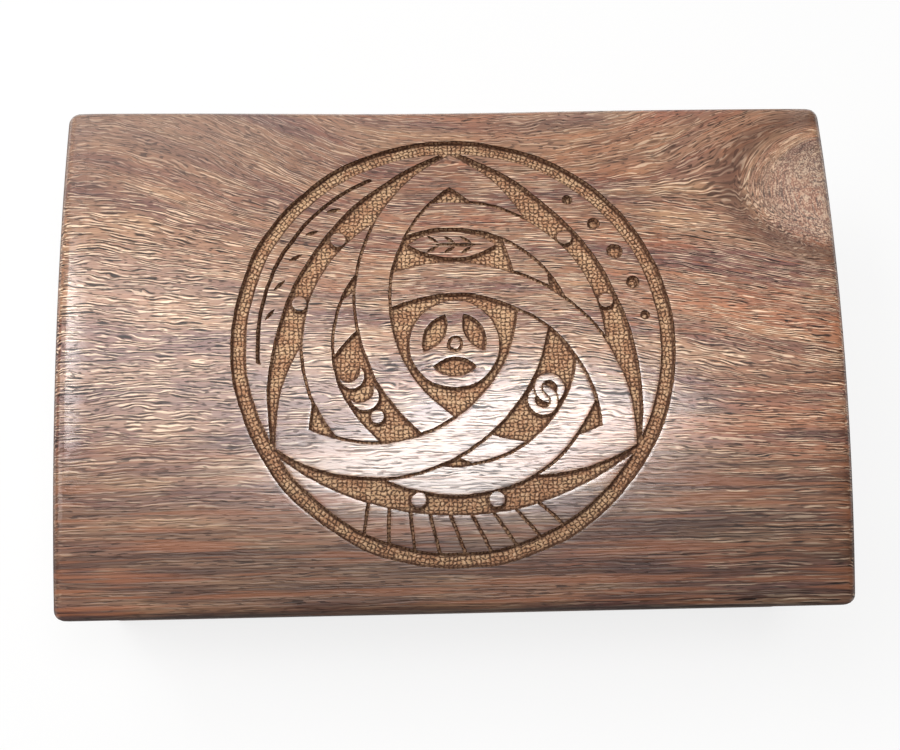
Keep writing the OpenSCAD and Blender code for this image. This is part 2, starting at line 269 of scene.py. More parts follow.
def flecked_wood(finish, along, across, depth, tones, waves):
    """Colour, height and shine of rosewood at a point given along and across its grain. Lower
    waves, from 1 down to 0, give straighter and longer threads."""
    palette = bpy.context.scene.keepsake_wood
    sway = finish.noise(along / 26, across / 9, depth / 9, 2) - 0.5
    ripple = finish.noise(along / 4.5, across / 2.2, depth / 2, 1) - 0.5
    lane = across + (sway * 4.5 + ripple * 1.1) * waves
    run = along * (waves * 0.5 + 0.5)
    broad = finish.noise(along / 70, lane / 7, depth / 7, 2)
    streak = finish.noise(along / 80, lane / 1.5, depth / 2, 3, 0.6)
    cloud = finish.noise(along / 34, lane / 9, depth / 9, 1)
    patch = finish.noise(along / 16, lane / 4.5, depth / 5, 1)
    wobble = finish.noise(run / 5.5, lane / 0.8, depth / 0.8, 1) * 11
    gate = finish.noise(run / 3.6, lane / 0.7, depth / 0.7, 0).step(0.38, 0.60)
    thread = finish.maths("SINE", lane * (2 * math.pi / THREAD) + wobble) * (gate * 0.7 + 0.3)
    fibre = finish.noise(run / 5.0, lane / 0.22, depth / 0.4, 1, 0.6)
    pore = finish.noise(run / 1.5, lane / 0.24, depth / 0.4, 0)
    tint = finish.mix(broad.step(0.36, 0.60), palette.plum, palette.mid)
    tint = finish.mix(patch.step(0.45, 0.75) * 0.45, tint, palette.tan)
    tint = finish.mix(cloud.step(0.46, 0.70) * tones["amber"], tint, palette.amber)
    tint = finish.mix(streak.step(0.54, 0.68) * tones["amber"], tint, palette.amber)
    tint = finish.mix((1 - streak.step(0.30, 0.47)) * tones["deep"], tint, palette.deep)
    flecks = thread.step(0.25, 0.80) * (0.55 + patch.step(0.36, 0.62) * 0.45) * tones["fleck"]
    gaps = (1 - thread.step(-0.80, -0.25)) * tones["gap"]
    tint = finish.mix(flecks, tint, palette.fleck)
    pores = pore.step(0.62, 0.69) * (1.25 - patch) * tones["pore"]
    tint = finish.mix(pores, tint, palette.pore)
    tint = finish.shade(tint, (fibre * 1.1 + 0.48) * (1 - gaps))
    height = thread * 0.3 + fibre * 0.5 - pores * 0.8
    shine = finish.maths("MAXIMUM", 1 - pores * 1.1 - gaps * 1.2, 0)
    return tint, height, shine


def wood_finish(name, grain, shift, tones):
    """Lacquered rosewood. grain names the axes along the grain, across the widest face and into
    it, and shift moves each board to other wood."""
    finish = Finish(name)
    place = dict(zip("xyz", finish.place()))
    along, across, depth = (place[axis] + step for axis, step in zip(grain, shift))
    tint, height, shine = flecked_wood(finish, along, across, depth, tones, tones["waves"])
    tint = finish.shade(tint, tones["level"])
    return finish.surface(
        Base_Color=tint, Roughness=0.46 - shine * 0.08,
        Normal=finish.bump(height, 0.05 * MM, 0.6),
        Coat_Weight=0.25, Coat_Roughness=0.28)


def lid_grain(finish, x, y):
    """Grain line through a point of the lid, how near the point is to the eye of a knot, and how
    dark the band is that curves round the eye. The lines slant at the back left, rise towards
    the back right corner and part round the eye, which lies in front of that corner."""
    slant = 26 * x.step(-74, -4) * y.step(-2, 40)
    fall = 13 * x.step(15, 95) * y.step(-30, 4) * (1 - y.step(12, 40))
    climb = 15 * x.step(15, 88) * y.step(24, 46)
    off_x, off_y = (x - EYE_X) / 24, (y - EYE_Y) / 15
    eye = finish.maths("EXPONENT", -(off_x * off_x + off_y * off_y))
    arc_x, arc_y = (x - 80) / 23.5, (y - 33) / 15.5
    arc = finish.maths("SQRT", arc_x * arc_x + arc_y * arc_y)
    band = arc.step(0.80, 0.97) * (1 - arc.step(1.0, 1.28))
    return y + slant + fall - climb - (y - EYE_Y) * eye * 0.85, eye, band


def punch_rows(finish, along, across, z):
    """Heights of the bumps that a punch leaves in rows, from 0 between them to 1 on them."""
    drift = finish.noise(along / 3, across / 3, z / 3, 1) * 1.2
    return finish.cells(along / MARK_LENGTH + drift, across / MARK_WIDTH + drift,
                        0.42).step(0.0, 0.34)


def lid_zones(finish, x, y):
    """How far a point of the lid lies in its front part, in its back part and on its rim."""
    front = 1 - y.step(-44, -6)
    back = y.step(18, 48)
    rim_x = finish.maths("ABSOLUTE", x).step(LID_HALF_X - 0.8, LID_HALF_X - 0.2)
    rim_y = finish.maths("ABSOLUTE", y).step(LID_HALF_Y - 0.8, LID_HALF_Y - 0.2)
    return front, back, finish.maths("MAXIMUM", rim_x, rim_y)


def lid_face(finish, place, zones):
    """Colour, height and shine of the lid's face: figured wood with a knot at the back right, a
    painted grey haze of sheen at the back left, and darker streaks along the front and at the
    right. The face is darker towards the front, partly darker wood and partly painted shade, and
    darker at the back and on the rim as painted shade."""
    palette = bpy.context.scene.keepsake_wood
    (x, y, z), (front, back, rim) = place, zones
    lane, eye, band = lid_grain(finish, x, y)
    knot = eye.step(0.30, 0.78)
    # Threads paler and gaps darker across the middle and at the right; across the middle this is
    # partly painted glint of the sheen on the threads.
    crisp = finish.maths("MAXIMUM", (1 - front) * (1 - back), x.step(20, 60) * (1 - back))
    tones = {"amber": x.step(-50, 30) * 0.40 + 0.12, "deep": 0.5,
             "fleck": crisp * 0.5 + 0.40 - front * 0.1, "gap": crisp * 0.60 + 0.30, "pore": 0.9}
    face, height, shine = flecked_wood(finish, x * (1 + knot), lane, z, tones, 1 - front * 0.8)
    speckle = finish.noise(x / 0.34, y / 0.4, z / 0.4, 1)
    dusk = finish.noise(x / 70, y / 1.7, z / 4, 3, 0.62)
    glow = finish.noise(x / 34, y / 1.2, z / 4, 2, 0.55)
    right = x.step(25, 60) * (1 - y.step(-10, 2)) * (1 - front)
    for share, tint in (
            (knot * speckle.step(0.50, 0.62) * 0.6, palette.fleck),
            (knot * (1 - speckle.step(0.38, 0.50)) * 0.5, palette.deep),
            (knot * 0.35, palette.grey_wood_and_haze),
            (band * 0.62, palette.deep),
            ((1 - dusk.step(0.40, 0.56)) * (front * 0.65 + right * 0.7), palette.deep),
            (glow.step(0.50, 0.64) * (front * 0.7 + right * 0.2), palette.amber),
            # Greyed wood at the back left: a painted haze of sheen.
            ((1 - x.step(-60, 10)) * back * 0.28, palette.grey_wood_and_haze)):
        face = finish.mix(share, face, tint)
    # Painted shade: the face darkens towards the front (there partly darker wood too) and at the
    # back, and its rim, the last 0.8 mm of the sides, darkens as painted shade of the sides.
    level = 1 - front * (0.36 + x.step(-66, -24) * 0.18) - back * 0.14
    return finish.shade(face, level * (1 - rim * 0.42)), height, shine


def punched_ground(finish, place, zones, foot):
    """Colour and height of the roundel's ground: punch marks in rows, which run round in the
    moat, with painted shade in their pits and painted highlights on their ridges, a dark band
    along the foot of the walls that is partly burnt wood and partly painted shade, and painted
    shade towards the front and the back."""
    palette = bpy.context.scene.keepsake_wood
    radius = bpy.context.scene.keepsake_lid.roundel_radius / MM
    (x, y, z), (front, back, _) = place, zones
    away = finish.maths("SQRT", x * x + y * y)
    moat = away.step(radius - MOAT_WIDTH - 0.4, radius - MOAT_WIDTH)
    turn = finish.maths("ARCTAN2", y, x) * radius
    marks = (punch_rows(finish, x, y, z) * (1 - moat)
             + punch_rows(finish, turn, away, z) * moat)
    grit = finish.noise(x / 0.42, y / 0.34, z / 0.4, 1, 0.6)
    blotch = finish.noise(x / 4, y / 2.5, z / 3, 2)
    burn_and_shade_patches = finish.noise(x / 1.5, y / 1.5, z / 1.5, 2)
    worked = marks * 0.8 + (grit - 0.5) * 2.3
    ground = finish.mix(blotch.step(0.36, 0.60), palette.ground, palette.rust)
    # Painted shade in the pits of the punch marks and painted highlights on their ridges, in the
    # fleck colour.
    ground = finish.mix((1 - worked.step(0.0, 0.62)) * 0.92, ground, palette.pit)
    ground = finish.mix(worked.step(0.72, 1.1) * 0.5, ground, palette.fleck)
    # Dark band along the foot of the walls and on the walls: partly burnt wood, partly painted
    # shade.
    ground = finish.mix(foot * (burn_and_shade_patches + 0.45), ground, palette.burn_and_shade)
    # Painted shade: the ground darkens towards the front and the back.
    return finish.shade(ground, 0.92 - front * 0.24 - back * 0.16), marks * 1.8 + grit * 1.6


def carved_finish():
    """Lacquered rosewood on the face, with a matt punched ground in the roundel. The mesh's cut
    is 0 on the face, 1 on the ground and 2 on the walls, and its foot is 1 along the walls."""
    finish = Finish("carved_rosewood")
    place = x, y, _ = finish.place()
    zones = front, back, rim = lid_zones(finish, x, y)
    cut = finish.mesh_value("cut")
    sunk = finish.maths("MINIMUM", cut, 1)
    foot = finish.maths("MAXIMUM", finish.mesh_value("foot"), cut - 1)
    face, height, shine = lid_face(finish, place, zones)
    ground, punched = punched_ground(finish, place, zones, foot)
    ends = finish.maths("ABSOLUTE", x).step(LID_HALF_X - 10, LID_HALF_X - 4)
    rubbed = (1 - x.step(38, 62)) * (0.6 + x.step(-52, -32) * 0.4)
    gloss = (finish.maths("MAXIMUM", rubbed, ends) * (1 - sunk) * (1 - rim)
             * (0.25 + y.step(-38, -27) * 0.75))
    lacquer = (1 - sunk) * (1 - front) * (1 - back) * 0.10
    return finish.surface(
        Base_Color=finish.mix(sunk, face, ground), Specular_IOR_Level=0.32,
        Roughness=0.46 + sunk * 0.32 - gloss * shine * 0.20 + rim * 0.3,
        Normal=finish.bump(height * (1 - sunk) + sunk * punched, 0.06 * MM, 0.9),
        Coat_Weight=lacquer + gloss * (0.12 + shine * 0.76), Coat_Roughness=0.18)


def velvet_finish():
    """Short pile that lies in brushed patches."""
    palette = bpy.context.scene.keepsake_trim
    finish = Finish("velvet")
    x, y, z = finish.place()
    brushed = finish.noise(x / 14, y / 14, z / 14, 3, 0.6)
    pile = finish.noise(x / 0.22, y / 0.22, z / 0.22, 2, 0.7)
    tint = finish.mix(brushed.step(0.34, 0.70) * 0.8, palette.velvet, palette.velvet_worn)
    tint = finish.shade(tint, pile * 0.9 + 0.5)
    return finish.surface(
        Base_Color=tint, Roughness=0.95, Normal=finish.bump(pile, 0.25 * MM, 0.9),
        Sheen_Weight=0.6, Sheen_Roughness=0.35, Sheen_Tint=(*palette.velvet_worn, 1.0),
        Specular_IOR_Level=0.15)


def brass_finish():
    """Worn brass with tarnish in patches and fine scratches."""
    palette = bpy.context.scene.keepsake_trim
    finish = Finish("brass")
    x, y, z = finish.place()
    cloud = finish.noise(x / 1.8, y / 1.8, z / 1.8, 3, 0.6)
    scratch = finish.noise(x / 3.5, y / 0.10, z / 0.10, 1)
    tint = finish.mix(cloud.step(0.46, 0.72) * 0.8, palette.brass, palette.tarnish)
    return finish.surface(
        Base_Color=tint, Metallic=1.0,
        Roughness=0.24 + cloud.step(0.4, 0.7) * 0.22 + scratch * 0.08,
        Normal=finish.bump(scratch, 0.01 * MM, 0.5))


def add_piece(name, mesh, material, node):
    """Makes an object of a mesh, which stands for a node of the frame and rides on its body."""
    piece = bpy.data.objects.new(name, mesh)
    bpy.context.scene.collection.objects.link(piece)
    mesh.materials.clear()
    mesh.materials.append(material)
    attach(piece, body_of_node(node))
    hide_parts(node)
    return piece


def body_of_node(node):
    """The name of the body that carries a node of the frame."""
    bodies = frame["record"]["behaviour"]["bodies"]
    return next(body for body, nodes in bodies.items() if node in nodes)


def outline(half_x, half_y, back, front, steps=90):
    """Points and outward directions round a rectangle, counterclockwise, as two arrays."""
    points, ways = [], []
    corners = [(1, -1, front, 270), (1, 1, back, 0), (-1, 1, back, 90), (-1, -1, front, 180)]
    for side_x, side_y, radius, start in corners:
        centre = np.array([side_x * (half_x - radius), side_y * (half_y - radius)])
        for turn in np.radians(start + np.linspace(0, 90, steps)):
            way = np.array([math.cos(turn), math.sin(turn)])
            points.append(centre + radius * way)
            ways.append(way)
    return np.array(points), np.array(ways)


def at_angles(centre, angles, points, *others):
    """Where rays from centre cross an outline, and what other arrays hold at those places."""
    ring = np.vstack([points, points[:1]])
    turns = np.unwrap(np.arctan2(ring[:, 1] - centre[1], ring[:, 0] - centre[0]))
    wanted = turns[0] + (angles - turns[0]) % (2 * math.pi)
    spot = np.searchsorted(turns, wanted, side="right") - 1
    spot = np.clip(spot, 0, len(points) - 1)
    start, end = ring[spot] - centre, ring[spot + 1] - centre
    ray = np.stack([np.cos(wanted), np.sin(wanted)], 1)
    edge = end - start
    cross = ray[:, 0] * edge[:, 1] - ray[:, 1] * edge[:, 0]
    share = (start[:, 0] * ray[:, 1] - start[:, 1] * ray[:, 0]) / cross
    share = np.clip(share, 0, 1)[:, None]
    after = (spot + 1) % len(points)
    return [values[spot] * (1 - share) + values[after] * share for values in (points, *others)]


class Roundel:
    """The carved roundel of the frame's lid board: its outlines, and what is sunk."""

    def __init__(self, centre, radius, crown_height, depth):
        mesh = frame["nodes"]["lid_board"].data
        mesh.calc_loop_triangles()
        spots = [v.co.copy() for v in mesh.vertices]
        self.middle = Vector(centre)
        self.radius = radius
        self.crown_height = crown_height
        self.depth = depth
        self.whole = BVHTree.FromPolygons(spots, [tuple(t.vertices) for t in mesh.loop_triangles])
        walls = [t for t in mesh.loop_triangles if self.is_wall(t, spots)]
        self.walls = BVHTree.FromPolygons(spots, [tuple(t.vertices) for t in walls])
        self.lines = []
        for wall in walls:
            top = [spots[i].xy for i in wall.vertices
                   if crown_height(spots[i].y) - spots[i].z < depth / 2]
            on_rim = all((p - self.middle).length > radius - 0.05 * MM for p in top)
            if len(top) == 2 and not on_rim:
                self.lines.append((*top, wall.normal.xy.normalized()))

    def is_wall(self, triangle, spots):
        """Whether a triangle is one of the upright faces of the carving."""
        heart = sum((spots[i] for i in triangle.vertices), Vector()) / 3
        inside = (heart.xy - self.middle).length < self.radius + 0.2 * MM
        return inside and abs(triangle.normal.z) < 0.3 and heart.z > LID_LOW.z + 3 * MM

    def is_sunk(self, x, y):
        """Whether the frame's board is carved away at a point."""
        hit = self.whole.ray_cast(Vector((x, y, LID_HIGH.z + 5 * MM)), Vector((0, 0, -1)))[0]
        return hit is None or hit.z < self.crown_height(y) - self.depth / 2

    def gap(self, x, y):
        """Distance from a point to the nearest wall."""
        near = self.walls.find_nearest(Vector((x, y, self.crown_height(y) - self.depth / 2)))[0]
        return math.hypot(near.x - x, near.y - y)

    def seeds(self, step, rim_points, rows):
        """Points for a mesh and the lines that it keeps: the rim, the outlines, a row along each
        side of them, and an even grid between. Rows are distances into the ground."""
        turns = np.linspace(0, 2 * math.pi, rim_points, endpoint=False)
        around = [Vector((math.cos(t), math.sin(t))) for t in turns]
        points = [self.middle + way * self.radius for way in around]
        lines = [(i, (i + 1) % rim_points) for i in range(rim_points)]
        number, taken, beside = {}, set(), []
        for start, end, way in self.lines:
            parts = math.ceil((end - start).length / step)
            run = [start.lerp(end, k / parts) for k in range(parts + 1)]
            keys = [(round(p.x / MM, 4), round(p.y / MM, 4)) for p in run]
            for key, point in zip(keys, run):
                if key not in number:
                    number[key] = len(points)
                    points.append(point)
            lines += [(number[a], number[b]) for a, b in zip(keys, keys[1:]) if a != b]
            beside += [(p.lerp(q, 0.5) + way * row, abs(row)) for p, q in zip(run, run[1:])
                       for row in rows]
        beside += [(self.middle + way * (self.radius - max(rows)), max(rows)) for way in around]
        count = math.ceil(self.radius / step)
        for j in range(-2 * count, 2 * count + 1):
            for i in range(-2 * count, 2 * count + 1):
                spot = Vector(((i + j % 2 / 2) * step, j * step * math.sqrt(0.75)))
                if spot.length < self.radius - step * 0.8:
                    beside.append((self.middle + spot, step * 0.95))
        for spot, clear in beside:
            key = (round(spot.x / step * 1.7), round(spot.y / step * 1.7))
            if key not in taken and self.gap(*spot) > clear * 0.85:
                taken.add(key)
                points.append(spot)
        return points, lines


class LidForm:
    """Vertices, faces and point values of the carved lid board."""

    RING_SHARES = (0.12, 0.25, 0.45, 0.65, 0.76, 0.83, 0.89, 0.94, 0.98)  # roundel to edge

    def __init__(self, sizes):
        self.sizes = sizes
        self.half_x = (LID_HIGH.x - LID_LOW.x) / 2
        self.half_y = (LID_HIGH.y - LID_LOW.y) / 2
        rise = sizes.crown_rise
        self.crown_r = (self.half_y ** 2 + rise ** 2) / (2 * rise)
        self.crown_z = LID_HIGH.z - self.crown_r
        self.centre = np.array([0.0, sizes.roundel_back])
        self.points = []
        self.faces = []
        self.feet = []
        self.cuts = []

    def crown(self, y, inset=0.0):
        """Height of the crown, or of the arc that lies inset below it."""
        return self.crown_z + np.sqrt((self.crown_r - inset) ** 2 - np.asarray(y) ** 2)

    def drop(self, plan):
        """How far points lie below the crown because the ends are worn down."""
        s = self.sizes
        inner = self.half_x - s.shoulder_reach
        return s.shoulder * np.clip((np.abs(plan[:, 0]) - inner) / s.shoulder_reach, 0, 1) ** 2

    def add(self, points, feet=0.0):
        """Adds points and gives the number of the first."""
        first = sum(len(p) for p in self.points)
        self.points.append(points)
        self.feet.append(np.zeros(len(points)) + feet)
        return first

    def relief(self, plan, gap):
        """Three arrays for points at a gap from the nearest wall: how near each is to the foot
        of a wall, the depth of the ground and the wear of the face."""
        s = self.sizes
        slope = np.clip(gap / s.wall_run, 0, 1)
        groove = np.exp(-((gap - s.wall_run) / (0.2 * MM)) ** 2)
        foot = np.maximum(np.where(slope < 1, 0.35 + 0.3 * slope, 0), groove)
        dents = np.array([noise.noise(Vector((x, y, 0)) / (1.1 * MM)) for x, y in plan])
        open_ground = np.clip((gap - s.wall_run) / (0.4 * MM), 0, 1)
        floor = (s.carving_depth * (0.45 + 0.55 * slope) + s.foot_depth * groove
                 + s.dents * dents * open_ground)
        return foot, floor, np.clip(1 - gap / s.arris, 0, 1) ** 2 * s.wear

    def add_roundel(self):
        """The carved disc. Its triangles keep to the outlines, and walls stand along them."""
        s = self.sizes
        carving = Roundel(self.centre, s.roundel_radius, lambda y: float(self.crown(y)),
                          s.carving_depth)
        rows = (s.wall_run, s.wall_run / 2, -s.arris / 2)
        points, lines = carving.seeds(s.mesh_step, s.rim_points, rows)
        made = delaunay_2d_cdt([p / MM for p in points], lines, [], 0, 1e-4, False)
        plan = np.array([(p.x, p.y) for p in made[0]]) * MM
        faces = np.array([tuple(face) for face in made[2]])
        hearts = plan[faces].mean(1)
        sunk = np.array([carving.is_sunk(x, y) for x, y in hearts])
        gap = np.array([carving.gap(x, y) for x, y in plan])
        away = np.linalg.norm(plan - self.centre, axis=1)
        rim = np.nonzero(away > s.roundel_radius - 0.002 * MM)[0]
        turn = np.arctan2(plan[rim, 1] - self.centre[1], plan[rim, 0] - self.centre[0])
        rim = rim[np.argsort(turn)]
        gap[rim] = 0

        foot, floor, wear = self.relief(plan, gap)
        noise.seed_set(WANDER_SEED)
        for share, wave in ((1.0, 9.0), (0.35, 2.6), (0.2, 0.9)):
            wander = [noise.noise_vector(Vector((x, y, wave)) / (wave * MM)).xy for x, y in plan]
            plan = plan + np.array(wander) * s.wander * share
        face = self.crown(plan[:, 1])
        top, bottom = np.zeros(len(plan), int), np.zeros(len(plan), int)
        upper, lower = np.union1d(faces[~sunk], rim), np.unique(faces[sunk])
        top[upper] = self.add(np.column_stack([plan, face - wear])[upper]) + np.arange(len(upper))
        bottom[lower] = (self.add(np.column_stack([plan, face - floor])[lower], foot[lower])
                         + np.arange(len(lower)))

        raised = {(a, b) for f in faces[~sunk].tolist() for a, b in zip(f, f[1:] + f[:1])}
        inner = {(a, b) for f in faces[sunk].tolist() for a, b in zip(f, f[1:] + f[:1])}
        walls = [(b, a) for a, b in inner if (b, a) in raised or (b, a) not in inner]
        self.faces += top[faces[~sunk]].tolist() + bottom[faces[sunk]].tolist()
        self.faces += [[top[a], bottom[a], bottom[b], top[b]] for a, b in walls]
        self.cuts += [0] * int((~sunk).sum()) + [1] * int(sunk.sum()) + [2] * len(walls)
        return top[rim]

    def rim_rings(self, rim):
        """Rings from the roundel out to the edge, over the round, down the side and under."""
        s = self.sizes
        circle = np.concatenate(self.points)[rim]
        angles = np.arctan2(circle[:, 1] - self.centre[1], circle[:, 0] - self.centre[0])
        worn, least = s.edge_round, 0.05 * MM
        shape, ways = outline(self.half_x, self.half_y, s.back_corner, s.front_corner)
        inner = outline(self.half_x - worn, self.half_y - worn, max(s.back_corner - worn, least),
                        max(s.front_corner - worn, least))[0]
        edge, way, middle = at_angles(self.centre, angles, shape, ways, inner)
        way /= np.linalg.norm(way, axis=1)[:, None]
        along = (edge[:, 0] + s.hollow_left) / s.hollow_reach
        hollow = np.where(edge[:, 1] > 0, s.hollow * np.exp(-along ** 2), 0)
        edge[:, 1] -= hollow
        middle[:, 1] -= hollow
        top_way = np.column_stack([np.zeros(len(rim)), middle[:, 1] / (self.crown_r - worn),
                                   np.zeros(len(rim))])
        top_way[:, 2] = np.sqrt(1 - top_way[:, 1] ** 2)
        reach = np.linalg.norm(edge - middle, axis=1)[:, None]
        side_way = np.column_stack([(edge - middle) / reach, np.zeros(len(rim))])
        heart = np.column_stack([middle, self.crown(middle[:, 1], worn) - self.drop(middle)])
        top = heart + top_way * worn
        rings = []
        eased = s.arris / np.linalg.norm(top[:, :2] - circle[:, :2], axis=1)[:, None]
        for share in (eased, 2 * eased, *self.RING_SHARES):
            plan = circle[:, :2] * (1 - share) + top[:, :2] * share
            rings.append(np.column_stack([plan, self.crown(plan[:, 1]) - self.drop(plan)]))
        rings.append(top)
        for share in (0.2, 0.4, 0.6, 0.8, 1.0):
            rise, out = math.cos(share * math.pi / 2), math.sin(share * math.pi / 2)
            swept = top_way * rise + side_way * out
            swept /= np.linalg.norm(swept, axis=1)[:, None]
            rings.append(heart + swept * (worn + (reach - worn) * out ** 2))
        for share in (0, 0.5, 1):
            turn = share * math.pi / 2
            inward = s.under_round * (1 - math.cos(turn))
            plan = edge - way * inward
            low = LID_LOW.z + s.under_round * (1 - math.sin(turn))
            rings.append(np.column_stack([plan, np.full(len(rim), low)]))
        return rings

    def build(self):
        """The finished mesh."""
        rim = self.add_roundel()
        last = rim
        for ring in self.rim_rings(rim):
            first = self.add(ring)
            now = np.arange(len(ring)) + first
            self.faces += np.stack([last, now, np.roll(now, -1), np.roll(last, -1)], -1).tolist()
            last = now
        self.faces.append(last[::-1].tolist())
        mesh = bpy.data.meshes.new("carved_lid")
        mesh.from_pydata(np.concatenate(self.points).tolist(), [], self.faces)
        foot = mesh.attributes.new("foot", "FLOAT", "POINT")
        foot.data.foreach_set("value", np.concatenate(self.feet).astype(np.float32))
        cut = mesh.attributes.new("cut", "FLOAT", "FACE")
        cuts = self.cuts + [0] * (len(self.faces) - len(self.cuts))
        cut.data.foreach_set("value", np.array(cuts, np.float32))
        mesh.shade_smooth()
        mesh.set_sharp_from_angle(angle=math.radians(40))
        mesh.update()
        return mesh


def eased_mesh(node, width, shortest):
    """The shape of a node of the frame, with those sharp edges eased that are longer than
    shortest."""
    work = bmesh.new()
    work.from_mesh(frame["nodes"][node].data)
    bmesh.ops.remove_doubles(work, verts=work.verts, dist=1e-6)
    bmesh.ops.dissolve_limit(work, angle_limit=math.radians(1), verts=work.verts,
                             edges=work.edges, delimit=set())
    sharp = [e for e in work.edges if len(e.link_faces) == 2
             and e.calc_face_angle() > math.radians(30) and e.calc_length() > shortest]
    bmesh.ops.bevel(work, geom=sharp, offset=width, segments=2, profile=0.6, affect="EDGES",
                    clamp_overlap=True, loop_slide=True)
    mesh = bpy.data.meshes.new(node + "_eased")
    work.to_mesh(mesh)
    work.free()
    mesh.shade_smooth()
    mesh.set_sharp_from_angle(angle=math.radians(35))
    return mesh


def lining_mesh(node, face_axis, face_side):
    """A velvet panel with turned edges, which faces face_side along face_axis, and its flat
    size."""
    step, turned = 1.6 * MM, 0.8 * MM
    low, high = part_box(node)
    axes = [a for a in range(3) if a != face_axis]
    counts = [max(2, round((high[a] - low[a]) / step)) for a in axes]
    thick = high[face_axis] - low[face_axis]
    back = low[face_axis] if face_side > 0 else high[face_axis]

    def spread(axis, count):
        line = np.linspace(0, 1, count + 1)
        extra = turned / (high[axis] - low[axis]) * np.array([0.12, 0.4, 0.75])
        line = np.sort(np.concatenate([line, extra, 1 - extra]))
        return low[axis] + (high[axis] - low[axis]) * line

    lines = [spread(a, c) for a, c in zip(axes, counts)]
    vertices, faces, number = [], [], {}
    for layer in (0, 1):
        for i, u in enumerate(lines[0]):
            for j, v in enumerate(lines[1]):
                gap = min(u - lines[0][0], lines[0][-1] - u, v - lines[1][0], lines[1][-1] - v)
                inner = min(gap / turned, 1)
                swell = math.sqrt(1 - (1 - inner) ** 2)
                ripple = noise.noise(Vector((u, v, layer + face_axis)) / (7 * MM)) * 0.10
                lift = thick * (0.25 + swell * (0.62 + ripple)) if layer else 0.0
                spot = [0.0] * 3
                spot[axes[0]], spot[axes[1]] = u, v
                spot[face_axis] = back + face_side * lift
                number[layer, i, j] = len(vertices)
                vertices.append(spot)
    last_i, last_j = len(lines[0]) - 1, len(lines[1]) - 1
    for layer in (0, 1):
        for i in range(last_i):
            for j in range(last_j):
                quad = [number[layer, i, j], number[layer, i + 1, j],
                        number[layer, i + 1, j + 1], number[layer, i, j + 1]]
                faces.append(quad if layer else quad[::-1])
    walk = [(i, 0) for i in range(last_i)] + [(last_i, j) for j in range(last_j)]
    walk += [(i, last_j) for i in range(last_i, 0, -1)] + [(0, j) for j in range(last_j, 0, -1)]
    for (i, j), (k, l) in zip(walk, walk[1:] + walk[:1]):
        faces.append([number[0, i, j], number[0, k, l], number[1, k, l], number[1, i, j]])
    mesh = bpy.data.meshes.new(node + "_velvet")
    mesh.from_pydata(vertices, [], faces)
    work = bmesh.new()
    work.from_mesh(mesh)
    bmesh.ops.recalc_face_normals(work, faces=work.faces)
    work.to_mesh(mesh)
    work.free()
    mesh.shade_smooth()
    return mesh, [high[a] - low[a] for a in axes]


